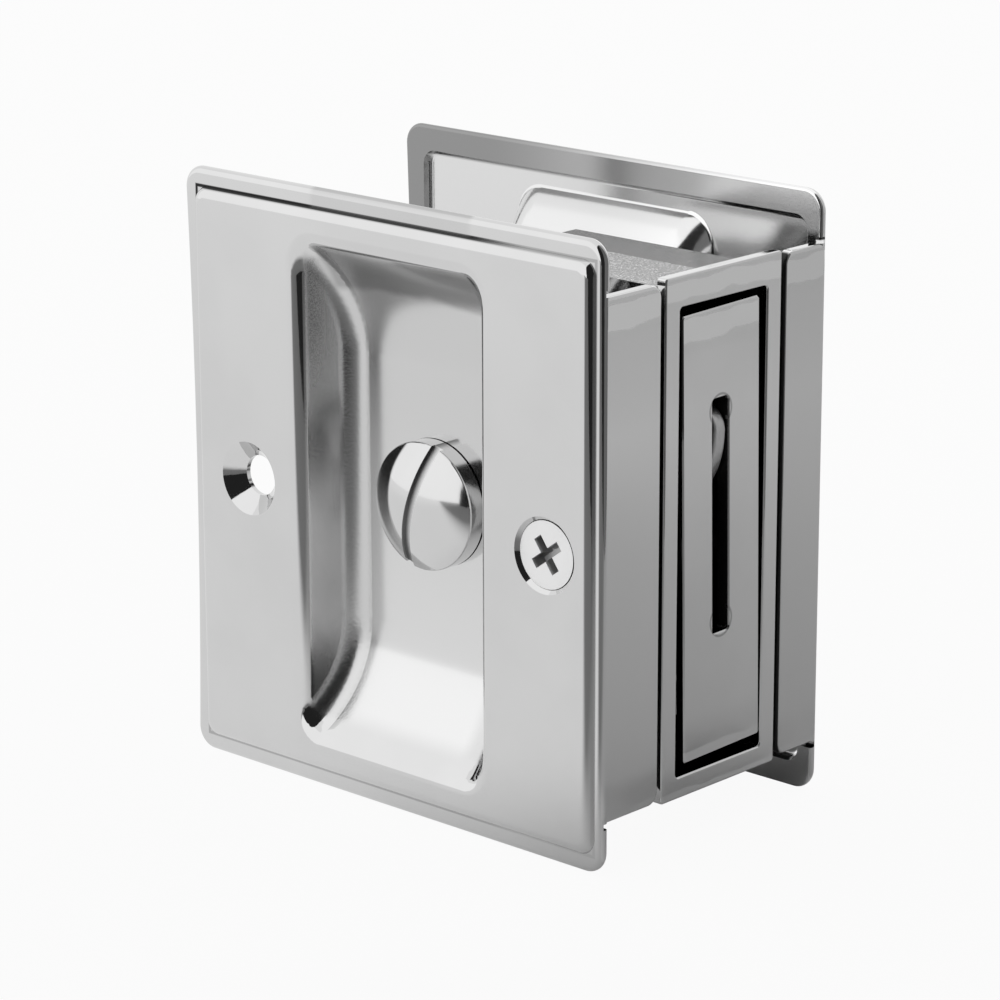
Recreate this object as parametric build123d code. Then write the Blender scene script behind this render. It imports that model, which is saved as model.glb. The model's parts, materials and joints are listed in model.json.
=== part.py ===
from build123d import *
import math
import os

os.makedirs("parts", exist_ok=True)

# Frame: +X toward the door's closing edge, -Y out of the front plate, +Z up.
# The origin is the middle of the two plates, half way through the door.

# Fits
RUN = 0.05
SNUG = 0.01

# Plates: pressed sheet on both faces of the door
DOOR = 35.0
SHEET = 1.2
PLATE_W = 63.5
PLATE_H = 69.85
CORNER_R = 2.5
BOW = 0.6
STEP = 0.9
STEP_TAPER = 25
RIM = 2.1
FOLD_RIM = 1.0
EDGE_R = 0.75
EDGE_IN_R = 0.4
FIELD_R = 1.8
FIELD_EDGE_R = 1.3
PRESS_R = 0.5
POCKET_INSET = 1.5 * SHEET
EDGE_X = PLATE_W / 2
RIM_IN = DOOR / 2
RIM_OUT = RIM_IN + SHEET
FIELD_OUT = RIM_OUT + STEP
FIELD_IN = FIELD_OUT - SHEET

# The holes and the turn share one centre, a little nearer the closing edge
SPINDLE_X = 1.6
HOLE_MARGIN = 18.1
HOLE_PITCH = PLATE_W - HOLE_MARGIN
HOLE_R = 2.35
SINK_R = 4.3
DIMPLE_R = 4.8
DIMPLE = 1.3

# Finger cup, in the middle of the raised field
CUP_X = SPINDLE_X - 0.8
CUP_SHARE = 0.44
CUP_HALF_W = CUP_SHARE * PLATE_W / 2
CUP_DEPTH = 7.2
CUP_DRAFT = 18
CUP_MARGIN = 5.9
CUP_REACH = PLATE_H / 2 - CUP_MARGIN
CUP_SCOOP_R = 16.0
CUP_FLAT = CUP_REACH - math.sqrt(CUP_DEPTH * (2 * CUP_SCOOP_R - CUP_DEPTH))
CUP_CREASE_R = 3.0
LIP_R = 2.0
CUP_FLOOR = FIELD_OUT - CUP_DEPTH

# Case screws, whose heads set the case's width between the cups
CASE_SCREW_R = 1.1
CASE_SCREW_HEAD_R = 2.0
CASE_SCREW_HEAD = 1.3
CASE_SCREW_ROOM = 0.8
CASE_SCREW_BITE = 4.5
CASE_SCREW_BOTTOM = 0.5
CASE_SCREW_SLIP = 0.15

# Case: two cast half shells between the plates, and the frame in the door edge
CASE_Y = 1.0
CASE_HALF_W = CUP_FLOOR - SHEET - CASE_SCREW_ROOM - CASE_SCREW_HEAD - CASE_Y
CASE_MARGIN = 6.525
CASE_HALF_H = PLATE_H / 2 - CASE_MARGIN
CASE_DRAFT = 0.45
CASE_END_X = SPINDLE_X - 10.6
CASE_SHOULDER_X = SPINDLE_X + 0.7
CASE_R = 9.0
WALL = 1.2
FRAME_T = 1.2
FRAME_SIDE = 1.65
FRAME_END = 1.0
FRAME_R = 0.4
FRAME_EDGE_R = 0.25
FRAME_HALF_W = CASE_HALF_W + FRAME_SIDE
FRAME_HALF_H = CASE_HALF_H + FRAME_END
OPENING_W = 2 * FRAME_HALF_W - 4.9
OPENING_H = 2 * FRAME_HALF_H - 6.0
OPENING_Z = -0.5
OPENING_R = 0.5
SEAM_FRONT = 0.5
SEAM_REAR = 0.55
FRAME_BACK = EDGE_X - FRAME_T
CAVITY_HALF_W = CASE_HALF_W - WALL
POST_R = 2.5
EDGE_POST = (EDGE_X - 17.75, CASE_HALF_H - 6.9)
END_POST = (CASE_END_X + 4.8, CASE_HALF_H - 13.9)
POSTS = [(x, side * z) for x, z in (EDGE_POST, END_POST) for side in (1, -1)]
PILLAR_R = 4.2
PILLAR_GAP = 0.4

# Folded tab of each plate
TAB_HALF_H = FRAME_HALF_H - 0.4
TAB_R = 1.5
TAB_EDGE_R = 0.4
RELIEF = 0.7

# Edge pull: a slotted rocker in the frame, set a little askew
PULL_W = OPENING_W - 1.7
PULL_H = OPENING_H - 2.3
PULL_Y = CASE_Y + 0.2
PULL_Z = -0.35
PULL_T = 1.6
PULL_SET = 0.15
PULL_SKEW = 1.2
PULL_R = 0.4
PULL_EDGE = 0.15
PULL_BACK = EDGE_X - PULL_SET - PULL_T
SLOT_W = 2.7
SLOT_H = 26.6
SLOT_R = 0.4
SLOT_Y = CASE_Y + 0.05
SLOT_Z = 1.45
PULL_PIVOT_BACK = 2.0
PULL_PIVOT_UP = 9.6
PULL_PIVOT = (PULL_BACK - PULL_PIVOT_BACK, PULL_Z - PULL_H / 2 + PULL_PIVOT_UP)
PULL_PIN_R = 1.0
PULL_PIN_SHORT = 0.2
LUG_R = 2.3
LUG_T = 1.2
LUG_LAP = 0.2
LUG_FLARE = 2.0
LUG_Y = PULL_W / 2 - 0.85

# Turn, crank, link and hook: equal cranks, so the hook follows the turn one to one
SPINDLE = (SPINDLE_X, 0.0)
HOOK_PIVOT_BACK = 7.75
HOOK_PIVOT_Z = -4.0
HOOK_PIVOT = (EDGE_X - HOOK_PIVOT_BACK, HOOK_PIVOT_Z)
CRANK_R = 7.0
TRAVEL = 75.0
PLATE_T = 2.0
LINK_T = 1.5
LINK_GAP = 0.25
EYE_R = 2.2
RIVET_R = 1.2
RIVET_HEAD_R = 2.0
RIVET_HEAD = 0.6
RIVET_GAP = 0.15
HOOK_PIN_R = 2.0
HOOK_HUB_R = 4.2
SLEEVE_R = 3.0
SLEEVE_GAP = 0.1
CRANK_HUB_R = 5.5
SQUARE = 4.0

# Hook: its outer end is an arc about the pivot, its nose a bow just inside the pull's face
HOOK_R = 18.4
CLAW_R = HOOK_R - 3.8
ROOT_R = HOOK_R - 4.8
NECK_R = HOOK_R - 9.4
HOOK_CORNER_R = 1.1
HOOK_EDGE_R = 0.4
NOSE_Z = HOOK_PIVOT_Z + HOOK_R - 3.8
NOSE_LOW_Z = HOOK_PIVOT_Z + HOOK_R - 9.8
NOSE_SET = 0.35
NOSE_LOW_SET = 2.25
NOSE_BOW = 0.48
NOSE_TOP_BOW = 0.74
CENTRE_ANGLE = math.degrees(math.atan2(HOOK_PIVOT[1] - SPINDLE[1], HOOK_PIVOT[0] - SPINDLE[0]))
CRANK_ANGLE = CENTRE_ANGLE - 90 + TRAVEL / 2

# Turns in the cups
TURN_R = 7.35
TURN_SIDE = 2.0
TURN_GAP = 0.15
DOME = 2.3
COIN_SLOT_W = 1.3
COIN_SLOT_DEPTH = 0.45
COIN_EDGE_R = 0.25
COIN_TILT = 16
SHANK_R = 3.95
CUP_HOLE_R = 4.3
CLIP_T = 0.7
CLIP_R = CRANK_R - RIVET_HEAD_R - 0.1
GROOVE_R = 3.2
THUMB_EDGE_R = 0.7
BAR_W = 3.2
BAR_H = 4.3
BAR_SHORT = 1.2
BAR_EDGE_R = 0.9
HEAD_LAP = 0.5
BEARING_IN = 1.2
BEARING_WALL = 1.6
SHANK_GAP = 0.3
SOCKET_SKIN = 0.8

# The turns meet the spindle short of the crank in front and of the link behind
FRONT_SHANK_END = CASE_Y - PLATE_T / 2 - SHANK_GAP
REAR_SHANK_END = CASE_Y + PLATE_T / 2 + LINK_GAP + LINK_T + SHANK_GAP
FRONT_CLIP = CASE_Y - CAVITY_HALF_W + BEARING_IN + RUN
REAR_CLIP = CASE_Y + CAVITY_HALF_W - BEARING_IN - CLIP_T - RUN
SPINDLE_END = CUP_FLOOR + TURN_SIDE - SOCKET_SKIN

# Plate screws; a cross recess is given as its bar width, bar length and depth
PLATE_SCREW_R = 2.0
PLATE_SCREW_HEAD_R = 3.8
PLATE_SCREW_SINK = 0.4
PLATE_SCREW_END = FIELD_OUT - 10.0
PILLAR_END = PLATE_SCREW_END - 0.4
PLATE_CROSS = (1.15, 4.4, 1.5)
CASE_CROSS = (0.7, 2.4, 0.8)
CROSS_TAPER = 12
CROSS_TURN = -36

# Leaf spring on the crank: gripped at one end, free to slide at the other
DETENT_X0 = SPINDLE_X - 8.2
DETENT_X1 = SPINDLE_X + 8.8
DETENT_Z = 6.5
DETENT_T = 0.35
DETENT_W = 3.0
DETENT_BEND = 2.4
DETENT_GAP = 0.1
NOTCH = 0.7
NOTCH_HALF = 1.5
NOTCH_PAST = 0.3
ANCHOR_GRIP = 2.6
ANCHOR_WALL = 1.0
ANCHOR_BELOW = 1.2
ANCHOR_ABOVE = 1.6
STOP_ABOVE = 2.2
STOP_LAP = 1.2
STOP_PAST = 0.6

# Wire spring on the pull's pin, and the rib that its inner leg bears up against
WIRE_R = 0.25
COIL_R = PULL_BACK - PULL_PIVOT[0] - WIRE_R - RUN
COIL_TURNS = 4.25
COIL_PITCH = 0.7
COIL_LENGTH = COIL_TURNS * COIL_PITCH
RIB_LEG = 7.6
PULL_LEG = 5.2
RIB_HALF = 0.8
RIB_T = 1.0
RIB_LAP = 0.4
RIB_X = PULL_PIVOT[0] - RIB_LEG + RIB_HALF / 2
RIB_Z = PULL_PIVOT[1] + COIL_R + WIRE_R + RUN


def xz(sketch, y0, y1):
    # a flat outline drawn in X and Z, thick from y0 to y1
    return extrude(Plane.XZ.offset(-y1) * sketch, amount=y1 - y0)


def rod(x, z, r, y0, y1):
    return xz(Pos(x, z) * Circle(r), y0, y1)


def block(x0, x1, y0, y1, z0, z1):
    return Pos((x0 + x1) / 2, (y0 + y1) / 2, (z0 + z1) / 2) * Box(x1 - x0, y1 - y0, z1 - z0)


def polar(centre, angle, r):
    a = math.radians(angle)
    return (centre[0] + r * math.cos(a), centre[1] + r * math.sin(a))


CRANK_EYE = polar(SPINDLE, CRANK_ANGLE, CRANK_R)
HOOK_EYE = polar(HOOK_PIVOT, CRANK_ANGLE, CRANK_R)
SCREW_X = SPINDLE_X + HOLE_PITCH / 2
FIXING_X = SPINDLE_X - HOLE_PITCH / 2


def cup(grow):
    # the pressed cup's space; grown by the sheet it is the cup's back
    floor = -CUP_FLOOR + grow
    centre = -CUP_FLOOR - CUP_SCOOP_R
    r = CUP_SCOOP_R + grow
    lean = math.tan(math.radians(CUP_DRAFT))
    half = CUP_HALF_W + grow / math.cos(math.radians(CUP_DRAFT))
    wide = half + (-FIELD_OUT - centre) * lean
    narrow = half - (floor + FIELD_OUT) * lean
    across = Polyline((CUP_X - wide, centre), (CUP_X + wide, centre),
                      (CUP_X + narrow, floor), (CUP_X - narrow, floor), close=True)
    sides = extrude(Plane.XY.offset(-PLATE_H / 2) * make_face(across), amount=PLATE_H)
    bottom = Line((floor, -CUP_FLAT), (floor, CUP_FLAT))
    upper = CenterArc((centre, CUP_FLAT), r, 0, 90)
    top = Line((centre, CUP_FLAT + r), (centre, -CUP_FLAT - r))
    lower = CenterArc((centre, -CUP_FLAT), r, 270, 90)
    scoop = extrude(Plane.YZ.offset(-PLATE_W / 2) * make_face([bottom, upper, top, lower]), amount=PLATE_W)
    space = sides & scoop
    walls = space.faces().filter_by(lambda f: abs(f.normal_at().X) > 0.5)
    creases = walls.edges().filter_by(lambda e: e.center().Y > centre + 0.01)
    return fillet(creases, CUP_CREASE_R + grow)


def plate(seam_y):
    # the front plate; the rear one is its mirror image with its own tab
    left = -PLATE_W / 2
    chord = PLATE_H / 2 - CORNER_R
    bow_r = (chord ** 2 + BOW ** 2) / (2 * BOW)
    outline = RectangleRounded(PLATE_W, PLATE_H, CORNER_R) - Pos(left + BOW - bow_r, 0) * Circle(bow_r)
    body = xz(outline, -RIM_OUT, -RIM_IN)
    body = fillet(body.faces().sort_by(Axis.Y)[0].edges(), EDGE_R)
    body = fillet(body.faces().sort_by(Axis.Y)[-1].edges(), EDGE_IN_R)

    field_w = PLATE_W - RIM - FOLD_RIM
    field_x = left + RIM + field_w / 2
    field_h = PLATE_H - 2 * RIM
    field = Pos(field_x, 0) * RectangleRounded(field_w, field_h, FIELD_R)
    pocket = Pos(field_x, 0) * RectangleRounded(field_w - POCKET_INSET, field_h - POCKET_INSET, FIELD_R)
    raised = extrude(Plane.XZ.offset(RIM_OUT) * field, amount=STEP, taper=STEP_TAPER)
    body += fillet(raised.faces().sort_by(Axis.Y)[0].edges(), FIELD_EDGE_R)
    hollow = extrude(Plane.XZ.offset(RIM_IN) * pocket, amount=FIELD_IN - RIM_IN, taper=STEP_TAPER)
    body -= fillet(hollow.faces().sort_by(Axis.Y)[0].edges(), PRESS_R)

    tab = block(EDGE_X - SHEET, EDGE_X, -RIM_OUT + EDGE_R, seam_y, -TAB_HALF_H, TAB_HALF_H)
    tab = fillet(tab.faces().sort_by(Axis.Y)[-1].edges().filter_by(Axis.X), TAB_R)
    face = tab.faces().sort_by(Axis.X)[-1]
    body += fillet(face.edges().filter_by(lambda e: e.center().Y > -RIM_OUT + EDGE_R + 0.01), TAB_EDGE_R)
    for side in (-1, 1):
        z = side * (TAB_HALF_H + RELIEF / 2)
        body -= block(EDGE_X - POCKET_INSET, EDGE_X + 1, -RIM_IN - RELIEF, -RIM_IN + 1,
                      z - RELIEF / 2, z + RELIEF / 2)

    back = cup(SHEET) & block(-PLATE_W, PLATE_W, -FIELD_IN - SHEET / 2, 0, -PLATE_H, PLATE_H)
    body += back
    for x in (FIXING_X, SCREW_X):
        body += rod(x, 0, DIMPLE_R, -FIELD_IN - SHEET / 2, -FIELD_IN + DIMPLE)
    roots = body.edges().filter_by(lambda e: abs(e.center().Y + FIELD_IN) < 0.01
                                   and abs(e.center().X - CUP_X) < CUP_HALF_W + 2 * SHEET
                                   and abs(e.center().Z) < CUP_REACH + 2 * SHEET)
    body = fillet(roots, PRESS_R)
    body -= cup(0)
    lips = body.edges().filter_by(lambda e: abs(e.center().Y + FIELD_OUT) < 0.01
                                  and abs(e.center().X - CUP_X) < CUP_HALF_W + 1
                                  and abs(e.center().Z) < CUP_REACH + 1)
    body = fillet(lips, LIP_R)

    for x in (FIXING_X, SCREW_X):
        body -= rod(x, 0, HOLE_R, -FIELD_OUT - 1, 0)
        body -= Pos(x, -FIELD_OUT, 0) * Rot(-90, 0, 0) * Cone(SINK_R, HOLE_R, SINK_R - HOLE_R,
                                                             align=(Align.CENTER, Align.CENTER, Align.MIN))
    body -= rod(SPINDLE_X, 0, CUP_HOLE_R, -FIELD_OUT, 0)
    return body


def case_outline(inset):
    half = CASE_HALF_H - inset
    end = CASE_END_X + inset
    shoulder = CASE_SHOULDER_X + inset * math.tan(math.radians(22.5))
    drop = half - (shoulder - end)
    points = [(FRAME_BACK, half), (shoulder, half), (end, drop), (end, -drop), (shoulder, -half), (FRAME_BACK, -half)]
    face = make_face(Polyline(*points, close=True))
    return fillet(face.vertices().filter_by(lambda v: v.X < FRAME_BACK - 1), CASE_R - inset)


def half_shell(side):
    # side -1 is the front half, +1 the rear half; they meet at the parting plane
    outer = CASE_Y + side * CASE_HALF_W
    inner = CASE_Y + side * CAVITY_HALF_W
    low, high = sorted((outer, CASE_Y))
    shell = xz(case_outline(0), low, high)
    # draft on the top and bottom walls, falling away from the parting plane
    for up in (-1, 1):
        crest = up * CASE_HALF_H
        wedge = Polyline((CASE_Y, crest), (outer, crest - up * CASE_DRAFT), (outer, crest + up), (CASE_Y, crest + up),
                         close=True)
        shell -= extrude(Plane.YZ.offset(CASE_END_X - 1) * make_face(wedge), amount=FRAME_BACK - CASE_END_X + 1)
    low, high = sorted((inner, CASE_Y))
    shell -= xz(case_outline(WALL), low, high)
    low, high = sorted((CASE_Y + side * OPENING_W / 2, CASE_Y))
    shell -= block(PULL_PIVOT[0] - LUG_R - 1, EDGE_X, low, high, OPENING_Z - OPENING_H / 2, OPENING_Z + OPENING_H / 2)

    low, high = sorted((inner + side * WALL / 2, CASE_Y))
    for x, z in POSTS:
        shell += rod(x, z, POST_R, low, high)
    # plate pillar, turn bearing and pin bosses
    tip = side * (FIELD_IN - DIMPLE - PILLAR_GAP)
    low, high = sorted((outer - side * WALL / 2, tip))
    shell += rod(SCREW_X, 0, PILLAR_R, low, high)
    low, high = sorted((outer - side * WALL / 2, inner - side * BEARING_IN))
    shell += rod(*SPINDLE, SHANK_R + BEARING_WALL, low, high)

    shell -= rod(*SPINDLE, SHANK_R + RUN, *sorted((outer + side, CASE_Y)))
    shell -= rod(*HOOK_PIVOT, HOOK_PIN_R + SNUG, *sorted((outer + side * 0.01, CASE_Y)))
    shell -= rod(*PULL_PIVOT, PULL_PIN_R + SNUG, *sorted((outer + side, CASE_Y)))
    return shell


def case_front_half():
    shell = half_shell(-1)
    frame = block(FRAME_BACK, EDGE_X, CASE_Y - FRAME_HALF_W, CASE_Y + FRAME_HALF_W, -FRAME_HALF_H, FRAME_HALF_H)
    frame = fillet(frame.edges().filter_by(Axis.X), FRAME_R)
    opening = block(FRAME_BACK - 1, EDGE_X + 1, CASE_Y - OPENING_W / 2, CASE_Y + OPENING_W / 2,
                    OPENING_Z - OPENING_H / 2, OPENING_Z + OPENING_H / 2)
    frame -= fillet(opening.edges().filter_by(Axis.X), OPENING_R)
    shell += fillet(frame.faces().sort_by(Axis.X)[-1].edges(), FRAME_EDGE_R)
    inner = CASE_Y - CAVITY_HALF_W - WALL / 2
    # rib over the wire spring's leg, then the grip and the stop of the leaf spring
    rib_end = CASE_Y - COIL_LENGTH / 2 + RIB_LAP
    shell += block(RIB_X - RIB_HALF, RIB_X + RIB_HALF, inner, rib_end, RIB_Z, RIB_Z + RIB_T)
    anchor = block(DETENT_X0 - ANCHOR_WALL, DETENT_X0 + ANCHOR_GRIP, inner, CASE_Y,
                   DETENT_Z - ANCHOR_BELOW, DETENT_Z + ANCHOR_ABOVE)
    slit = block(DETENT_X0 - RUN, DETENT_X0 + ANCHOR_GRIP + 1, CASE_Y - DETENT_W - RUN, CASE_Y + 1,
                 DETENT_Z - RUN, DETENT_Z + DETENT_T + RUN)
    shell += anchor - slit
    shell += block(DETENT_X1 - STOP_LAP, DETENT_X1 + STOP_PAST, inner, CASE_Y,
                   DETENT_Z + DETENT_T + RUN, DETENT_Z + STOP_ABOVE)
    for x, z in POSTS:
        shell -= rod(x, z, CASE_SCREW_R + SNUG, CASE_Y - CASE_SCREW_BITE - CASE_SCREW_BOTTOM, CASE_Y + 1)
    shell -= rod(SCREW_X, 0, PLATE_SCREW_R + SNUG, -DOOR, -PILLAR_END)
    return shell


def case_rear_half():
    shell = half_shell(1)
    for x, z in POSTS:
        shell -= rod(x, z, CASE_SCREW_R + CASE_SCREW_SLIP, CASE_Y - 1, CASE_Y + CASE_HALF_W + 1)
    shell -= rod(SCREW_X, 0, PLATE_SCREW_R + SNUG, PILLAR_END, DOOR)
    return shell


def cross_recess(w, length, depth):
    # a cross-shaped drive recess cut down from y = 0 toward +Y, narrowing with depth
    bar = Rectangle(length, w) + Rectangle(w, length)
    return extrude(Plane.XZ.offset(0.01) * bar, amount=-depth, taper=CROSS_TAPER)


def plate_screw():
    # countersunk machine screw of the front plate, head face a little below the field
    face = -FIELD_OUT + PLATE_SCREW_SINK
    head_h = PLATE_SCREW_HEAD_R - PLATE_SCREW_R
    screw = rod(0, 0, PLATE_SCREW_R, face + head_h, -PLATE_SCREW_END)
    screw += Pos(0, face, 0) * Rot(-90, 0, 0) * Cone(PLATE_SCREW_HEAD_R, PLATE_SCREW_R, head_h,
                                                    align=(Align.CENTER, Align.CENTER, Align.MIN))
    screw -= Pos(0, face, 0) * Rot(0, CROSS_TURN, 0) * cross_recess(*PLATE_CROSS)
    return Pos(SCREW_X, 0, 0) * screw


def case_screws():
    seat = CASE_Y + CASE_HALF_W
    screws = []
    for x, z in POSTS:
        screw = rod(x, z, CASE_SCREW_R, CASE_Y - CASE_SCREW_BITE, seat + CASE_SCREW_HEAD / 2)
        screw += rod(x, z, CASE_SCREW_HEAD_R, seat, seat + CASE_SCREW_HEAD)
        recess = Pos(x, seat + CASE_SCREW_HEAD, z) * Rot(0, 0, 180) * cross_recess(*CASE_CROSS)
        screws.append(screw - recess)
    return Compound(children=screws)


def edge_pull():
    # the rocker: slotted face plate, two lugs on the pivot pin
    face = Box(PULL_T, PULL_W, PULL_H)
    face = fillet(face.edges().filter_by(Axis.X), PULL_R)
    slot = extrude(Plane.YZ.offset(-PULL_T) * RectangleRounded(SLOT_W, SLOT_H, SLOT_R), amount=2 * PULL_T)
    face -= Pos(0, SLOT_Y - PULL_Y, SLOT_Z - PULL_Z) * slot
    face = chamfer(face.faces().sort_by(Axis.X)[-1].edges(), PULL_EDGE)
    pull = Pos(PULL_BACK + PULL_T / 2, PULL_Y, PULL_Z) * Rot(PULL_SKEW, 0, 0) * face
    x, z = PULL_PIVOT
    root = PULL_BACK + LUG_LAP
    flare = LUG_R + LUG_FLARE
    arm = Polyline((x, z - LUG_R), (root, z - flare), (root, z + flare), (x, z + LUG_R), close=True)
    lug = make_face(arm) + Pos(x, z) * Circle(LUG_R) - Pos(x, z) * Circle(PULL_PIN_R + RUN)
    for side in (-1, 1):
        y = CASE_Y + side * LUG_Y
        pull += xz(lug, y - LUG_T / 2, y + LUG_T / 2)
    return pull


def pull_pin():
    end = CASE_HALF_W - PULL_PIN_SHORT
    return rod(*PULL_PIVOT, PULL_PIN_R, CASE_Y - end, CASE_Y + end)


def pull_spring():
    # torsion spring: one leg under the rib, the other behind the lower end of the pull
    coil = Helix(pitch=COIL_PITCH, height=COIL_LENGTH, radius=COIL_R)
    rib_leg = Line(coil @ 0 - (coil % 0) * RIB_LEG, coil @ 0)
    pull_leg = Line(coil @ 1, coil @ 1 + (coil % 1) * PULL_LEG)
    path = Wire([rib_leg, coil, pull_leg])
    wire = sweep(Plane(rib_leg @ 0, z_dir=rib_leg % 0) * Circle(WIRE_R), path=path)
    return Pos(PULL_PIVOT[0], CASE_Y - COIL_LENGTH / 2, PULL_PIVOT[1]) * Rot(-90, 0, 0) * Rot(0, 0, -90) * wire


def hook_bolt():
    # flat hook at rest: nose in the pull's slot, claw turned in behind it
    low, high = CASE_Y - PLATE_T / 2, CASE_Y + PLATE_T / 2
    nose_low, nose = (EDGE_X - NOSE_LOW_SET, NOSE_LOW_Z), (EDGE_X - NOSE_SET, NOSE_Z)
    nose_top = polar(HOOK_PIVOT, 74, HOOK_R)
    claw_end, claw_tip = polar(HOOK_PIVOT, 106, HOOK_R), polar(HOOK_PIVOT, 111, CLAW_R)
    root_out, root_in = polar(HOOK_PIVOT, 84, ROOT_R), polar(HOOK_PIVOT, 86, NECK_R)
    heel = polar(HOOK_PIVOT, 180, HOOK_HUB_R)
    toe = polar(HOOK_PIVOT, -10, HOOK_HUB_R)
    edges = [
        Line(toe, nose_low),
        SagittaArc(nose_low, nose, -NOSE_BOW),
        SagittaArc(nose, nose_top, -NOSE_TOP_BOW),
        ThreePointArc(nose_top, polar(HOOK_PIVOT, 90, HOOK_R), claw_end),
        Line(claw_end, claw_tip),
        Line(claw_tip, root_out),
        Line(root_out, root_in),
        Line(root_in, heel),
        Line(heel, toe),
    ]
    arm = make_face(edges)
    corners = [claw_end, claw_tip, root_out, root_in]
    near = [v for v in arm.vertices() if any(math.dist((v.X, v.Y), c) < 0.01 for c in corners)]
    arm = fillet(near, HOOK_CORNER_R)
    tail = SlotCenterToCenter(CRANK_R, 2 * EYE_R, rotation=CRANK_ANGLE)
    mid = polar(HOOK_PIVOT, CRANK_ANGLE, CRANK_R / 2)
    outline = arm + Pos(*HOOK_PIVOT) * Circle(HOOK_HUB_R) + Pos(*mid) * tail
    outline -= Pos(*HOOK_PIVOT) * Circle(HOOK_PIN_R + RUN)
    outline -= Pos(*HOOK_EYE) * Circle(RIVET_R + RUN)
    hook = xz(outline, low, high)
    rims = hook.edges().filter_by(lambda e: e.center().Z > HOOK_PIVOT_Z + HOOK_HUB_R
                                  and abs(abs(e.center().Y - CASE_Y) - PLATE_T / 2) < 0.01)
    return fillet(rims, HOOK_EDGE_R)


def hook_pin():
    return rod(*HOOK_PIVOT, HOOK_PIN_R, CASE_Y - CASE_HALF_W, CASE_Y + CASE_HALF_W)


def hook_sleeves():
    near, far = PLATE_T / 2 + SLEEVE_GAP, CAVITY_HALF_W - RUN
    ring = Pos(*HOOK_PIVOT) * (Circle(SLEEVE_R) - Circle(HOOK_PIN_R + SNUG))
    return Compound(children=[xz(ring, CASE_Y - far, CASE_Y - near), xz(ring, CASE_Y + near, CASE_Y + far)])


def crank():
    # flat crank on the square spindle, with a detent notch for each end of the travel
    tail = SlotCenterToCenter(CRANK_R, 2 * EYE_R, rotation=CRANK_ANGLE)
    outline = Pos(*SPINDLE) * Circle(CRANK_HUB_R) + Pos(*polar(SPINDLE, CRANK_ANGLE, CRANK_R / 2)) * tail
    for angle in (90, 90 + TRAVEL):
        bottom = polar(SPINDLE, angle, CRANK_HUB_R - NOTCH)
        wide = math.degrees(NOTCH_HALF / CRANK_HUB_R)
        sides = [polar(SPINDLE, angle + s * wide, CRANK_HUB_R + NOTCH_PAST) for s in (-1, 1)]
        outline -= make_face(Polyline(bottom, *sides, close=True))
    outline -= Pos(*SPINDLE) * Rectangle(SQUARE + 2 * RUN, SQUARE + 2 * RUN, rotation=COIN_TILT)
    outline -= Pos(*CRANK_EYE) * Circle(RIVET_R + RUN)
    return xz(outline, CASE_Y - PLATE_T / 2, CASE_Y + PLATE_T / 2)


def link():
    near = CASE_Y + PLATE_T / 2 + LINK_GAP
    dx, dz = HOOK_EYE[0] - CRANK_EYE[0], HOOK_EYE[1] - CRANK_EYE[1]
    bar = SlotCenterToCenter(math.hypot(dx, dz), 2 * EYE_R, rotation=CENTRE_ANGLE)
    outline = Pos(CRANK_EYE[0] + dx / 2, CRANK_EYE[1] + dz / 2) * bar
    for eye in (CRANK_EYE, HOOK_EYE):
        outline -= Pos(*eye) * Circle(RIVET_R + SNUG)
    return xz(outline, near, near + LINK_T)


def link_rivets():
    front = CASE_Y - PLATE_T / 2 - RIVET_GAP
    rear = CASE_Y + PLATE_T / 2 + LINK_GAP + LINK_T
    rivets = []
    for eye in (CRANK_EYE, HOOK_EYE):
        rivet = rod(*eye, RIVET_R, front - RIVET_HEAD / 2, rear + RIVET_HEAD / 2)
        rivet += rod(*eye, RIVET_HEAD_R, front - RIVET_HEAD, front)
        rivet += rod(*eye, RIVET_HEAD_R, rear, rear + RIVET_HEAD)
        rivets.append(rivet)
    return Compound(children=rivets)


def square_bar(y0, y1, gap):
    side = SQUARE + 2 * gap
    return xz(Pos(*SPINDLE) * Rectangle(side, side, rotation=COIN_TILT), y0, y1)


def turn_blank(side, shank_end, clip_y):
    # round head on a grooved shank with a square socket
    under = side * (CUP_FLOOR + TURN_GAP)
    rim = under + side * TURN_SIDE
    turn = rod(*SPINDLE, TURN_R, *sorted((under, rim)))
    turn += rod(*SPINDLE, SHANK_R, *sorted((under + side * HEAD_LAP, shank_end)))
    groove = Pos(*SPINDLE) * (Circle(SHANK_R + 1) - Circle(GROOVE_R))
    turn -= xz(groove, clip_y - RUN, clip_y + CLIP_T + RUN)
    return turn - square_bar(*sorted((side * (SPINDLE_END + RUN), shank_end - side)), RUN), rim


def coin_turn():
    # domed head with an even slot across it
    turn, rim = turn_blank(-1, FRONT_SHANK_END, FRONT_CLIP)
    ball_r = (TURN_R ** 2 + DOME ** 2) / (2 * DOME)
    middle = Pos(SPINDLE[0], rim + ball_r - DOME, SPINDLE[1])
    turn += middle * Sphere(ball_r) & rod(*SPINDLE, TURN_R, rim - DOME - 1, rim + SOCKET_SKIN / 2)
    edge = turn.edges().filter_by(GeomType.CIRCLE).filter_by(
        lambda e: abs(e.center().Y - rim) < 0.05 and e.radius > TURN_R - 0.1)
    turn = fillet(edge, COIN_EDGE_R)
    slot = Pos(*SPINDLE) * Rectangle(COIN_SLOT_W, 4 * TURN_R, rotation=-COIN_TILT)
    return turn - (xz(slot, rim - DOME - 1, rim + TURN_SIDE / 2) - middle * Sphere(ball_r - COIN_SLOT_DEPTH))


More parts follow.
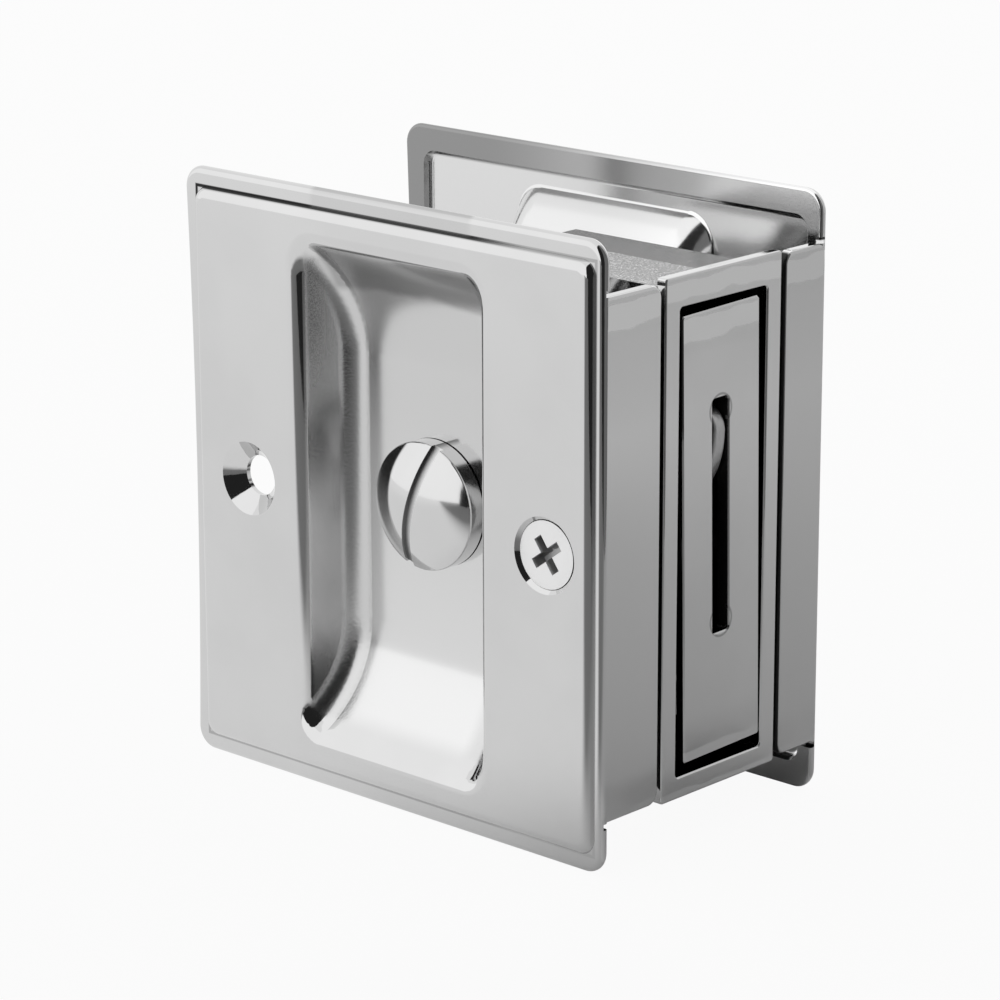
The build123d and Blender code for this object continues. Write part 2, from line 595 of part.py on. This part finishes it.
def thumb_turn():
    turn, rim = turn_blank(1, REAR_SHANK_END, REAR_CLIP)
    bar = Pos(*SPINDLE) * SlotOverall(2 * TURN_R - BAR_SHORT, BAR_W, rotation=90 - COIN_TILT)
    grip = xz(bar, rim - HEAD_LAP, rim + BAR_H)
    grip = fillet(grip.faces().sort_by(Axis.Y)[-1].edges(), BAR_EDGE_R)
    edge = turn.edges().filter_by(GeomType.CIRCLE).filter_by(
        lambda e: abs(e.center().Y - rim) < 0.05 and e.radius > TURN_R - 0.1)
    return fillet(edge, THUMB_EDGE_R) + grip


def spindle():
    return square_bar(-SPINDLE_END, SPINDLE_END, 0)


def turn_clips():
    ring = Circle(CLIP_R) - Circle(GROOVE_R + RUN)
    ring -= Pos(0, CLIP_R) * Rectangle(2 * GROOVE_R - 1, 2 * CLIP_R)
    ring = Pos(*SPINDLE) * ring
    return Compound(children=[xz(ring, y, y + CLIP_T) for y in (FRONT_CLIP, REAR_CLIP)])


def detent_spring():
    # leaf spring: its bend drops into a notch at each end of the turn's travel
    dip = CRANK_HUB_R - NOTCH + DETENT_GAP
    lower = [(DETENT_X0, DETENT_Z), (SPINDLE_X - DETENT_BEND, DETENT_Z), (SPINDLE_X, dip),
             (SPINDLE_X + DETENT_BEND, DETENT_Z), (DETENT_X1, DETENT_Z)]
    upper = [(x, z + DETENT_T) for x, z in reversed(lower)]
    return xz(make_face(Polyline(*lower, *upper, close=True)), CASE_Y - DETENT_W, CASE_Y + PLATE_T / 2)


front_plate = plate(CASE_Y - FRAME_HALF_W - SEAM_FRONT)
rear_plate = mirror(plate(-CASE_Y - FRAME_HALF_W - SEAM_REAR), Plane.XZ)

PARTS = {
    "front_plate": front_plate,
    "rear_plate": rear_plate,
    "case_front_half": case_front_half(),
    "case_rear_half": case_rear_half(),
    "case_screws": case_screws(),
    "edge_pull": edge_pull(),
    "pull_pin": pull_pin(),
    "pull_spring": pull_spring(),
    "hook_bolt": hook_bolt(),
    "hook_pin": hook_pin(),
    "hook_sleeves": hook_sleeves(),
    "crank": crank(),
    "link": link(),
    "link_rivets": link_rivets(),
    "spindle": spindle(),
    "coin_turn": coin_turn(),
    "thumb_turn": thumb_turn(),
    "turn_clips": turn_clips(),
    "detent_spring": detent_spring(),
    "front_plate_screw": plate_screw(),
    "rear_plate_screw": mirror(plate_screw(), Plane.XZ),
}

for name, shape in PARTS.items():
    export_step(shape, f"parts/{name}.step")
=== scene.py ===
import json
import math

import bpy
from mathutils import Matrix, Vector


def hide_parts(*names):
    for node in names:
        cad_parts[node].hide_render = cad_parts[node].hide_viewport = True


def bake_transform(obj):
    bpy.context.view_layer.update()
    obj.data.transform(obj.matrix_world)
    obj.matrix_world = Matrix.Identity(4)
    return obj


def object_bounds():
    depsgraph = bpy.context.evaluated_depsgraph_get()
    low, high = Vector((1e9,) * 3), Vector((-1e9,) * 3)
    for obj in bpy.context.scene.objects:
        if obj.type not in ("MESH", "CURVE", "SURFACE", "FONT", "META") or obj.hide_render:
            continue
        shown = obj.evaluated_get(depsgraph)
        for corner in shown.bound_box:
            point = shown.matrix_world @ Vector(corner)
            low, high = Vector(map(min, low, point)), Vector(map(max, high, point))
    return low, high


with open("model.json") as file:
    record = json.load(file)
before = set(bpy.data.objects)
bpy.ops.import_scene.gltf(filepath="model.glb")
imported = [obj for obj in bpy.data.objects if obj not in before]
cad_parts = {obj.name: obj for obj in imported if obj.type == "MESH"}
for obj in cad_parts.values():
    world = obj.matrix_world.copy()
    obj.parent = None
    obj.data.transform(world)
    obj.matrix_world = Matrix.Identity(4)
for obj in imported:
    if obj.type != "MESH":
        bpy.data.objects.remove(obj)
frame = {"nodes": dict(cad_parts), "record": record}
cad_low, cad_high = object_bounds()
nodes = frame["nodes"]

# Camera: the photograph's viewpoint, in metres and degrees
CAMERA_AT = (0.2865, -0.3095, 0.1179)
CAMERA_AZIMUTH = 42.81
CAMERA_ELEVATION = 15.95
CAMERA_ROLL = 0.15
FOCAL_PIXELS = 3839
IMAGE_PIXELS = 1000
SENSOR = 36.0
CLIP_START = 0.01

# Studio: a white room with a large soft box at the left. The pale floor carries a painted glow at the left,
# seen only in reflections, and painted shade at the right front, and three flags stand at the right for the
# chrome to mirror.
FLOOR_SIZE = 2.4
FLOOR_TONE = 0.86
# The floor's tone under its painted shade
FLOOR_SHADE_TONE = 0.50
FLOOR_WHITE = 0.94
# Painted glow on the floor, seen only in reflections: its strengths near and far, and where it lies
GLOW = (0.80, 0.14)
GLOW_AZIMUTH = -135
GLOW_NEAR = (-0.030, 0.035)
GLOW_FAR = (0.14, 0.45)
# Where the painted shade on the floor lies, toward the right and toward the front
SHADE_AZIMUTH = -8
SHADE = (0.018, 0.060)
FRONT_AZIMUTH = -90
SHADE_FRONT = (0.020, 0.060)
AMBIENT = 0.60
BOX_AZIMUTH = -120
BOX_DISTANCE = 1.0
BOX_SIZE = (2.0, 1.75)
BOX_POWER = 1.8
FLAG_X = 0.15
FLAG_HEIGHT = 0.7
# Each flag's first and last y, the height of its lower edge, and the tone it glows with
FLAGS = {
    "dark flag": (-0.55, -0.06, 0.0, 0.02),
    "grey flag": (-0.06, 0.08, 0.0, 0.15),
    "pale flag": (0.08, 0.60, 0.042, 0.58),
}

# Places on the part that the finishes and the painted light and shade follow, in metres from the CAD's own
# dimensions.
# A pair says where a finish begins and where it is full.
OUTWARD = (-0.02, 0.02)
INWARD = (-0.02, -0.10)
# Painted reflection on the plate's inner side and inner rim: where it fades in from left to right
INSIDE_REFLECTION_FADE = (0.0, 0.025)
INNER_RIM = (-0.0017, -0.0013)
INNER_RIM_REFLECTION_FADE = (-0.020, 0.030)
FIELD_X = 0.00055
FIELD_HALF = (0.0302, 0.032825)
RIM_OUT = 0.0187
# Painted shade in the crease at the foot of the step round the raised field: where it lies and where it fades
CREASE_AT = -0.00002
CREASE = (0.00026, 0.00012)
CREASE_OUTER = (RIM_OUT - 0.0003, RIM_OUT - 0.0002)
CREASE_FADE_Z = (-0.034, 0.034)
CREASE_FADE_X = (0.022, 0.012)
CREASE_FAINT = 0.35
CUP_X = 0.0008
CUP_WALL = (0.0080, 0.0102)
CUP_EDGE = (0.0150, 0.0145)
CUP_TOP = (0.0275, 0.0265)
CUP_LIP = (RIM_OUT, RIM_OUT - 0.001)
# Speckle on the cup's walls, darker toward the top: partly pressed grain, partly painted dark reflection
WALL_MATT = (0.002, 0.020)
WALL_MATT_ASIDE = (0.0120, 0.0134)
# Painted light on the cup's floor, brighter toward the bottom: where it lies and fades
CUP_FLOOR = (0.0102, 0.0080)
CUP_FLOOR_DEPTH = (RIM_OUT - 0.001, RIM_OUT - 0.003)
CUP_FLOOR_PAINTED_FADE = (-0.024, 0.016)
# Painted dark reflection in a band below the cup's upper lip
CUP_DARK_BAND = (0.0243, 0.0255)
CUP_DARK_BAND_ASIDE = (0.0125, 0.0115)
CUP_DARK_BAND_LIP = (RIM_OUT + 0.0004, RIM_OUT - 0.001)
TAB_FACE = (0.0315, 0.0316)
# The tab's painted light: lighter on the front plate than on the rear
TAB_REAR = (-0.005, 0.005)
TAB_TOP = 0.029
# Painted shade in the seam between the tab and the frame
SEAM = (0.0298, 0.0300)
SEAM_DEPTH = (0.0150, 0.0140)
SEAM_FACING = (-0.3, -0.6)
CASE_Y = 0.001
CASE_FACE = (0.0304, 0.0307)
CASE_ENDS = (0.4, 0.6)
# Painted shade in the hollow of the case
CAVITY_Y = (0.0075, 0.0074)
CAVITY_Z = (0.0271, 0.0270)
CAVITY_BACK = (0.012, 0.013)
CAVITY_FRONT = (0.0304, 0.0303)
FRAME_TOP = 0.0294
PULL_FACE = (0.0310, 0.0312)
# Painted shade on the pull's back and in its slot
PULL_BACK = (0.0302, 0.0300)
PULL_TOP = 0.0252
SLOT_SIDE = (0.0030, 0.0029)
SLOT_FACING = (0.6, 0.9)
SLOT_ENDS = ((0.00076, 0.0134), (0.00126, -0.0105))
RING_R = 0.0018
RING = (0.00020, 0.00006)
SPINDLE_X = 0.0016
# The coin slot: painted shade along one side, painted light along the other
COIN_SLOT_HALF = 0.00066
COIN_SLOT_EDGE = 0.00003
COIN_SIDE = (0.0, -0.001)
COIN_TILT = 16
RECESS = (0.0191, 0.0188)
NOSE_LOW = (0.0048, 0.0042)

# Finishes and painted light and shade: tone and roughness
FINISH = {
    "plate": (0.68, 0.05),
    # Painted shade in the crease at the foot of the step
    "crease": (0.03, 0.40),
    "cup_wall": (0.66, 0.24),
    # Painted dark reflection below the cup's upper lip
    "cup_top": (0.40, 0.14),
    # Painted shade in the seam beside the tab
    "seam": (0.04, 0.50),
    "case": (0.78, 0.08),
    "edge_face": (0.74, 0.06),
    # Painted shade in the hollows and on hidden backs
    "painted_shade_inside": (0.05, 0.60),
    "ring": (0.42, 0.20),
    "turn": (0.68, 0.09),
    "screw_head": (0.92, 0.48),
    "screw_recess": (0.50, 0.40),
    "hook": (0.66, 0.45),
    "hook_dark_shank": (0.05, 0.50),
    # Painted shade: the steel parts inside the lock are given dark tones
    "plain_steel": (0.14, 0.40),
    "spring_steel": (0.12, 0.35),
    "screw_steel": (0.50, 0.30),
}
# Painted reflection on the plate's inner side and inner rim: darker at the left, lighter at the right
INSIDE_REFLECTION_TONES = (0.74, 0.95)
INNER_RIM_REFLECTION_TONES = (0.30, 0.90)
INSIDE_ROUGH = 0.15
# Speckle on the cup's walls: partly pressed grain, partly painted dark reflection
MATT_AND_REFLECTION_TONES = (0.22, 0.52)
MATT_ROUGH = 0.30
# Painted light on the cup's floor: brighter low, darker high
CUP_FLOOR_PAINTED_TONES = (0.76, 0.64)
CUP_FLOOR_ROUGH = 0.14
# The tab's painted light: front tab, then rear tab
TAB_PAINTED_TONES = (0.75, 0.66)
TAB_ROUGH = 0.05
# Tone of the cast ends; on the rear half's copy, cast_dark, it is painted darker as shade
END_TONES = {"cast_chrome": 0.40, "cast_dark": 0.16}
END_ROUGH = 0.20
# Painted glints on the cast ends: how much lighter they are
PAINTED_GLINT_GAIN = 2.0
# The coin slot's painted shade and painted light, across the slot
COIN_SLOT_SHADE_TONES = (0.20, 0.85)
COIN_SLOT_ROUGH = 0.45

# Grain of the finishes and of the painted light: noise cells to the metre, with a depth in metres or the
# levels that count
PEEL = (420.0, 0.000003)
WALL_GRAIN = (3200.0, 0.000012)
CAST_GRAIN = (3600.0, 0.0001)
CAST_GRAIN_ON_FACE = 0.02
HEAD_GRAIN = (2500.0, 0.00001)
STEEL_GRAIN = (900.0, 0.000004)
HOOK_GRAIN = (1800.0, 0.00006)
CLOUD_CELLS = 90.0
CLOUD_DETAIL = 4.0
CLOUD = (0.3, 0.7)
CLOUD_TONE = 0.96
CLOUD_ROUGH = (0.7, 1.3)
MATT_CELLS = 9000.0
MATT = (0.35, 0.65)
# Painted glints on the cast ends: cells to the metre and the levels that count
PAINTED_GLINT_CELLS = 4200.0
PAINTED_GLINTS = (0.51, 0.67)
# The painted dark band's wavy lower edge: noise cells to the metre and how far it wanders
DARK_BAND_CELLS = 120.0
DARK_BAND_WAVE = 0.003

# Buffed edges: how far they reach in and how much the face falls, and how unevenly
BUFFED = (0.004, 0.0006)
BUFFED_FRAME = (0.003, 0.0004)
BUFFED_CELLS = 160.0
BUFFED_WAVE = 0.0016


class Nodes:
    """A short way to add and join shader nodes."""

    def __init__(self, tree):
        self.tree = tree
        tree.nodes.clear()

    def add(self, kind, **inputs):
        node = self.tree.nodes.new(kind)
        for name, value in inputs.items():
            self.put(node, name.replace("_", " "), value)
        return node

    def put(self, node, name, value):
        socket = node.inputs[name]
        if isinstance(value, bpy.types.NodeSocket):
            self.tree.links.new(value, socket)
        else:
            socket.default_value = value

    def math(self, operation, a, b=0.0):
        node = self.tree.nodes.new("ShaderNodeMath")
        node.operation = operation
        for index, value in enumerate((a, b)):
            self.put(node, index, value)
        return node.outputs[0]

    def size(self, value):
        return self.math("ABSOLUTE", value)

    def away(self, value, middle):
        return self.size(self.math("SUBTRACT", value, middle))

    def without(self, mask):
        return self.math("SUBTRACT", 1.0, mask)

    def both(self, *masks):
        result = masks[0]
        for mask in masks[1:]:
            result = self.math("MULTIPLY", result, mask)
        return result

    def step(self, value, low, high):
        """0 at low and 1 at high with a soft change between; low may be the larger."""
        node = self.add("ShaderNodeMapRange", Value=value, From_Min=low, From_Max=high)
        node.interpolation_type = "SMOOTHSTEP"
        return node.outputs[0]

    def blend(self, mask, low, high):
        return self.add("ShaderNodeMapRange", Value=mask, To_Min=low, To_Max=high).outputs[0]

    def along(self, coords, azimuth):
        x, y, _ = self.add("ShaderNodeSeparateXYZ", Vector=coords).outputs
        a = math.radians(azimuth)
        return self.math("ADD", self.math("MULTIPLY", x, math.cos(a)), self.math("MULTIPLY", y, math.sin(a)))

    def noise(self, coords, scale, detail=2.0):
        return self.add("ShaderNodeTexNoise", Vector=coords, Scale=scale, Detail=detail).outputs[0]


class Metal:
    """Plated metal: its tone and roughness vary softly, and marks and bumps are laid over them."""

    def __init__(self, name, tone, rough):
        self.material = bpy.data.materials.new(name)
        self.material.use_nodes = True
        self.n = n = Nodes(self.material.node_tree)
        coords = n.add("ShaderNodeTexCoord").outputs
        self.place = coords["Object"]
        self.x, self.y, self.z = n.add("ShaderNodeSeparateXYZ", Vector=self.place).outputs
        _, self.facing_y, self.facing_z = n.add("ShaderNodeSeparateXYZ", Vector=coords["Normal"]).outputs
        cloud = n.step(n.noise(self.place, CLOUD_CELLS, CLOUD_DETAIL), *CLOUD)
        self.tone = n.blend(cloud, tone * CLOUD_TONE, tone)
        self.rough = n.blend(cloud, rough * CLOUD_ROUGH[0], rough * CLOUD_ROUGH[1])
        self.normal = None

    def mark(self, mask, tone, rough):
        self.tone = self.n.blend(mask, self.tone, tone)
        self.rough = self.n.blend(mask, self.rough, rough)

    def bump(self, height, depth, mask=1.0):
        bump = self.n.add("ShaderNodeBump", Strength=mask, Distance=depth, Height=height)
        if self.normal:
            self.n.put(bump, "Normal", self.normal)
        self.normal = bump.outputs[0]

    def grain(self, cells, depth, mask=1.0):
        self.bump(self.n.noise(self.place, cells), depth, mask)

    def roll_off(self, edge, reach, drop, mask):
        """Buffing has rounded the face away toward an upper and a lower edge, a little unevenly."""
        n = self.n
        wave = n.math("MULTIPLY", n.noise(self.place, BUFFED_CELLS), BUFFED_WAVE)
        height = n.math("ADD", n.size(self.z), wave)
        near = n.add("ShaderNodeMapRange", Value=height, From_Min=edge - reach, From_Max=edge).outputs[0]
        fall = n.math("MULTIPLY", n.math("POWER", near, 2.0), -1.0)
        self.bump(fall, drop, mask)

    def done(self):
        n = self.n
        shader = n.add("ShaderNodeBsdfPrincipled", Metallic=1.0, Base_Color=self.tone, Roughness=self.rough)
        if self.normal:
            n.put(shader, "Normal", self.normal)
        out = n.add("ShaderNodeOutputMaterial")
        n.tree.links.new(shader.outputs[0], out.inputs["Surface"])
        return self.material


def plate_rim(m, depth, inward):
    """The plate's inner side, with painted reflection that grows lighter toward the right, and painted shade
    in the step round the raised field.
    """
    n = m.n
    inside = n.step(inward, *INWARD)
    # Painted reflection: the inner side grows lighter toward the right
    m.mark(inside, n.blend(n.step(m.x, *INSIDE_REFLECTION_FADE), *INSIDE_REFLECTION_TONES), INSIDE_ROUGH)
    across = n.math("SUBTRACT", n.away(m.x, FIELD_X), FIELD_HALF[0])
    along = n.math("SUBTRACT", n.size(m.z), FIELD_HALF[1])
    beyond = n.math("MAXIMUM", across, along)
    # Painted reflection on the inner rim: dark at the left, light at the right
    inner_rim = n.both(inside, n.step(beyond, *INNER_RIM))
    m.mark(inner_rim, n.blend(n.step(m.x, *INNER_RIM_REFLECTION_FADE), *INNER_RIM_REFLECTION_TONES), INSIDE_ROUGH)
    # Painted shade in the crease, fainter toward the bottom and toward the right
    line = n.step(n.away(beyond, CREASE_AT), *CREASE)
    outer = n.step(depth, *CREASE_OUTER)
    faint_low = n.blend(n.step(m.z, *CREASE_FADE_Z), CREASE_FAINT, 1.0)
    faint_right = n.blend(n.step(m.x, *CREASE_FADE_X), CREASE_FAINT, 1.0)
    m.mark(n.both(line, outer, n.both(faint_low, faint_right)), *FINISH["crease"])


def plate_cup(m, depth, inward):
    """The finger cup: rough drawn walls, speckled dark toward the top as pressed grain and painted dark
    reflection, a polished floor with painted light brighter toward the bottom, and a painted dark reflection
    at the upper end.
    """
    n = m.n
    aside = n.away(m.x, CUP_X)
    outward = n.step(inward, *OUTWARD)
    across = n.both(n.step(aside, *CUP_WALL), n.step(aside, *CUP_EDGE))
    walls = n.both(across, n.step(n.size(m.z), *CUP_TOP), n.step(depth, *CUP_LIP), outward)
    m.mark(walls, *FINISH["cup_wall"])
    # Speckle darker toward the top: partly the drawn wall's grain, partly painted dark reflection
    matt = n.both(walls, n.step(m.z, *WALL_MATT), n.step(aside, *WALL_MATT_ASIDE))
    m.mark(matt, n.blend(n.step(n.noise(m.place, MATT_CELLS), *MATT), *MATT_AND_REFLECTION_TONES), MATT_ROUGH)
    m.grain(*WALL_GRAIN, walls)
    # Painted light on the cup's floor: brighter toward the bottom
    bottom = n.both(n.step(aside, *CUP_FLOOR), n.step(depth, *CUP_FLOOR_DEPTH), outward)
    m.mark(bottom, n.blend(n.step(m.z, *CUP_FLOOR_PAINTED_FADE), *CUP_FLOOR_PAINTED_TONES), CUP_FLOOR_ROUGH)
    # Painted dark reflection in a band below the cup's upper lip, with a wavy lower edge
    height = n.math("ADD", m.z, n.math("MULTIPLY", n.noise(m.place, DARK_BAND_CELLS), DARK_BAND_WAVE))
    upper = n.both(n.step(height, *CUP_DARK_BAND), n.step(aside, *CUP_DARK_BAND_ASIDE))
    m.mark(n.both(upper, n.step(depth, *CUP_DARK_BAND_LIP), outward), *FINISH["cup_top"])


def plate_tab(m, depth, inward):
    """The tab in the door edge, buffed off at its ends, painted lighter on the front plate than on the rear,
    with painted shade in the seam beside the frame.
    """
    n = m.n
    tab = n.step(m.x, *TAB_FACE)
    # Painted light: the front tab lighter than the rear tab
    m.mark(tab, n.blend(n.step(m.y, *TAB_REAR), *TAB_PAINTED_TONES), TAB_ROUGH)
    m.roll_off(TAB_TOP, *BUFFED, tab)
    # Painted shade in the seam between the tab and the frame
    seam = n.both(n.step(m.x, *SEAM), n.step(depth, *SEAM_DEPTH), n.step(inward, *SEAM_FACING))
    m.mark(seam, *FINISH["seam"])


def plate_chrome():
    m = Metal("plate_chrome", *FINISH["plate"])
    n = m.n
    depth = n.size(m.y)
    inward = n.math("MULTIPLY", m.facing_y, n.math("SIGN", m.y))
    plate_rim(m, depth, inward)
    plate_cup(m, depth, inward)
    m.grain(*PEEL)
    plate_tab(m, depth, inward)
    return m.done()


def case_metal(name):
    """Cast case: bright sides, grainy ends with painted glints, painted darker as shade on the rear half, a
    polished face in the door edge, and painted shade inside.
    """
    m = Metal(name, *FINISH["case"])
    n = m.n
    face = n.step(m.x, *CASE_FACE)
    m.mark(face, *FINISH["edge_face"])
    ends = n.step(n.size(m.facing_z), *CASE_ENDS)
    cast = n.both(ends, n.without(face))
    # The cast ends; on the rear half (cast_dark) their tone is painted darker as shade
    m.mark(cast, END_TONES[name], END_ROUGH)
    # Painted glints: light specks in the colour of the cast ends
    painted_glints = n.step(n.noise(m.place, PAINTED_GLINT_CELLS), *PAINTED_GLINTS)
    m.mark(n.both(cast, painted_glints), END_TONES[name] * PAINTED_GLINT_GAIN, END_ROUGH)
    # Painted shade in the hollow of the case
    within = n.both(n.step(n.away(m.y, CASE_Y), *CAVITY_Y), n.step(n.size(m.z), *CAVITY_Z))
    hollow = n.both(within, n.step(m.x, *CAVITY_BACK), n.step(m.x, *CAVITY_FRONT))
    m.mark(hollow, *FINISH["painted_shade_inside"])
    m.grain(*CAST_GRAIN, n.both(ends, n.blend(face, 1.0, CAST_GRAIN_ON_FACE)))
    m.roll_off(FRAME_TOP, *BUFFED_FRAME, face)
    return m.done()


def pull_chrome():
    """The edge pull: polished face, painted shade on its back and in its slot, and a burnished ring round each
    end of the slot.
    """
    m = Metal("pull_chrome", *FINISH["edge_face"])
    n = m.n
    face = n.step(m.x, *PULL_FACE)
    # Painted shade on the pull's back and in its slot
    m.mark(n.step(m.x, *PULL_BACK), *FINISH["painted_shade_inside"])
    slot = n.both(n.step(n.away(m.y, CASE_Y), *SLOT_SIDE), n.step(n.size(m.facing_y), *SLOT_FACING))
    m.mark(slot, *FINISH["painted_shade_inside"])
    for y, z in SLOT_ENDS:
        far = n.math("POWER", n.away(m.y, y), 2.0)
        high = n.math("POWER", n.away(m.z, z), 2.0)
        radius = n.math("SQRT", n.math("ADD", far, high))
        m.mark(n.both(n.step(n.away(radius, RING_R), *RING), face), *FINISH["ring"])
    m.grain(*PEEL)
    m.roll_off(PULL_TOP, *BUFFED, face)
    return m.done()


def turn_chrome():
    """The turns: polished, with a rough coin slot painted dark along one side as shade and lighter along the
    other.
    """
    m = Metal("turn_chrome", *FINISH["turn"])
    n = m.n
    tilt = math.radians(COIN_TILT)
    right = n.math("MULTIPLY", n.math("SUBTRACT", m.x, SPINDLE_X), math.cos(tilt))
    off = n.math("SUBTRACT", right, n.math("MULTIPLY", m.z, math.sin(tilt)))
    within = n.step(n.size(off), COIN_SLOT_HALF, COIN_SLOT_HALF - COIN_SLOT_EDGE)
    # Painted shade along one side of the coin slot, painted light along the other
    tone = n.blend(n.step(off, -COIN_SLOT_HALF, COIN_SLOT_HALF), *COIN_SLOT_SHADE_TONES)
    m.mark(n.both(within, n.step(m.y, *COIN_SIDE)), tone, COIN_SLOT_ROUGH)
    return m.done()


def screw_face():
    m = Metal("screw_face", *FINISH["screw_head"])
    m.mark(m.n.step(m.n.size(m.y), *RECESS), *FINISH["screw_recess"])
    m.grain(*HEAD_GRAIN)
    return m.done()


def hook_steel():
    """The hook: tumbled steel, dark on the shank below its nose."""
    m = Metal("hook_steel", *FINISH["hook"])
    m.mark(m.n.step(m.z, *NOSE_LOW), *FINISH["hook_dark_shank"])
    m.grain(*HOOK_GRAIN)
    return m.done()


# plain_steel and spring_steel get dark tones from FINISH: painted shade inside the lock
def steel(name):
    m = Metal(name, *FINISH[name])
    m.grain(*STEEL_GRAIN)
    return m.done()


def dress():
    looks = {
        "plate_chrome": plate_chrome(),
        "cast_chrome": case_metal("cast_chrome"),
        "cast_dark": case_metal("cast_dark"),
        "turn_chrome": turn_chrome(),
        "screw_face": screw_face(),
        "hook_steel": hook_steel(),
        "plain_steel": steel("plain_steel"),
        "spring_steel": steel("spring_steel"),
        "screw_steel": steel("screw_steel"),
    }
    for part in frame["record"]["subparts"]:
        mesh = nodes[part["node"]].data
        mesh.materials.clear()
        mesh.materials.append(looks[part["material_slot"]])
    nodes["edge_pull"].data.materials[0] = pull_chrome()


def wind_spring():
    """A copy of the pull's spring, its placing baked into its mesh, shown in place of the CAD piece."""
    spring = bpy.data.objects.new("pull_spring_wound", nodes["pull_spring"].data.copy())
    bpy.context.scene.collection.objects.link(spring)
    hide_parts("pull_spring")
    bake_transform(spring)


def studio():
    world = bpy.data.worlds.new("studio")
    bpy.context.scene.world = world
    world.use_nodes = True
    n = Nodes(world.node_tree)
    path = n.add("ShaderNodeLightPath").outputs
    seen = n.math("MAXIMUM", path["Is Camera Ray"], path["Is Glossy Ray"])
    seen = n.math("MAXIMUM", seen, path["Is Transmission Ray"])
    background = n.add("ShaderNodeBackground", Color=(1, 1, 1, 1), Strength=n.blend(seen, AMBIENT, 1.0))
    out = n.add("ShaderNodeOutputWorld")
    n.tree.links.new(background.outputs[0], out.inputs["Surface"])


def stage_piece(name, points, shader):
    """One flat panel of the studio; shader fills in its material and gives the shader node."""
    mesh = bpy.data.meshes.new(name)
    mesh.from_pydata(points, [], [(0, 1, 2, 3)])
    material = bpy.data.materials.new(name)
    material.use_nodes = True
    n = Nodes(material.node_tree)
    out = n.add("ShaderNodeOutputMaterial")
    n.tree.links.new(shader(n).outputs[0], out.inputs["Surface"])
    mesh.materials.append(material)
    piece = bpy.data.objects.new(name, mesh)
    bpy.context.scene.collection.objects.link(piece)
    return piece


def floor():
    def shader(n):
        path = n.add("ShaderNodeLightPath").outputs
        place = n.add("ShaderNodeTexCoord").outputs["Object"]
        # Painted shade at the right front, and a painted glow at the left that only reflections see
        left = n.along(place, GLOW_AZIMUTH)
        at_right = n.step(n.along(place, SHADE_AZIMUTH), *SHADE)
        at_front = n.step(n.along(place, FRONT_AZIMUTH), *SHADE_FRONT)
        unshaded = n.without(n.both(at_right, at_front))
        near = n.both(n.step(left, *GLOW_NEAR), unshaded, path["Is Glossy Ray"])
        far = n.both(n.step(left, *GLOW_FAR), path["Is Glossy Ray"])
        share = n.math("MULTIPLY", path["Is Camera Ray"], FLOOR_WHITE)
        for glow, mask in zip(GLOW, (near, far)):
            share = n.math("ADD", share, n.math("MULTIPLY", mask, glow))
        lit = n.add("ShaderNodeBsdfDiffuse", Color=n.blend(unshaded, FLOOR_SHADE_TONE, FLOOR_TONE))
        white = n.add("ShaderNodeEmission", Color=(1, 1, 1, 1), Strength=1.0)
        mixed = n.add("ShaderNodeMixShader", Fac=share)
        n.tree.links.new(lit.outputs[0], mixed.inputs[1])
        n.tree.links.new(white.outputs[0], mixed.inputs[2])
        return mixed

    half, z = FLOOR_SIZE / 2, cad_low.z
    stage_piece("floor", [(-half, -half, z), (half, -half, z), (half, half, z), (-half, half, z)], shader)


def flag(name, y0, y1, bottom, tone):
    """A card standing at the right, which the camera looks past. It glows with its tone instead of being lit:
    a painted reflection for the chrome.
    """
    def shader(n):
        return n.add("ShaderNodeEmission", Color=(tone, tone, tone, 1), Strength=1.0)

    z0, z1 = cad_low.z + bottom, cad_low.z + FLAG_HEIGHT
    points = [(FLAG_X, y0, z0), (FLAG_X, y1, z0), (FLAG_X, y1, z1), (FLAG_X, y0, z1)]
    stage_piece(name, points, shader).visible_camera = False


def soft_box():
    data = bpy.data.lights.new("soft box", "AREA")
    data.shape = "RECTANGLE"
    data.size, data.size_y = BOX_SIZE
    data.energy = BOX_POWER
    light = bpy.data.objects.new("soft box", data)
    bpy.context.scene.collection.objects.link(light)
    turn = Matrix.Rotation(math.radians(BOX_AZIMUTH), 4, "Z")
    upright = Matrix.Rotation(math.radians(90), 4, "Y") @ Matrix.Rotation(math.radians(90), 4, "Z")
    light.matrix_world = turn @ Matrix.Translation((BOX_DISTANCE, 0, cad_low.z + BOX_SIZE[1] / 2)) @ upright


def camera():
    data = bpy.data.cameras.new("camera")
    data.sensor_width = SENSOR
    data.lens = FOCAL_PIXELS / IMAGE_PIXELS * SENSOR
    data.clip_start = CLIP_START
    view = bpy.data.objects.new("camera", data)
    bpy.context.scene.collection.objects.link(view)
    turn = Matrix.Rotation(math.radians(CAMERA_AZIMUTH), 4, "Z")
    tilt = Matrix.Rotation(math.radians(90 - CAMERA_ELEVATION), 4, "X")
    roll = Matrix.Rotation(math.radians(-CAMERA_ROLL), 4, "Z")
    view.matrix_world = Matrix.Translation(CAMERA_AT) @ turn @ tilt @ roll
    bpy.context.scene.camera = view


dress()
wind_spring()
studio()
floor()
for name, values in FLAGS.items():
    flag(name, *values)
soft_box()
camera()
bpy.context.scene.view_settings.view_transform = "Standard"
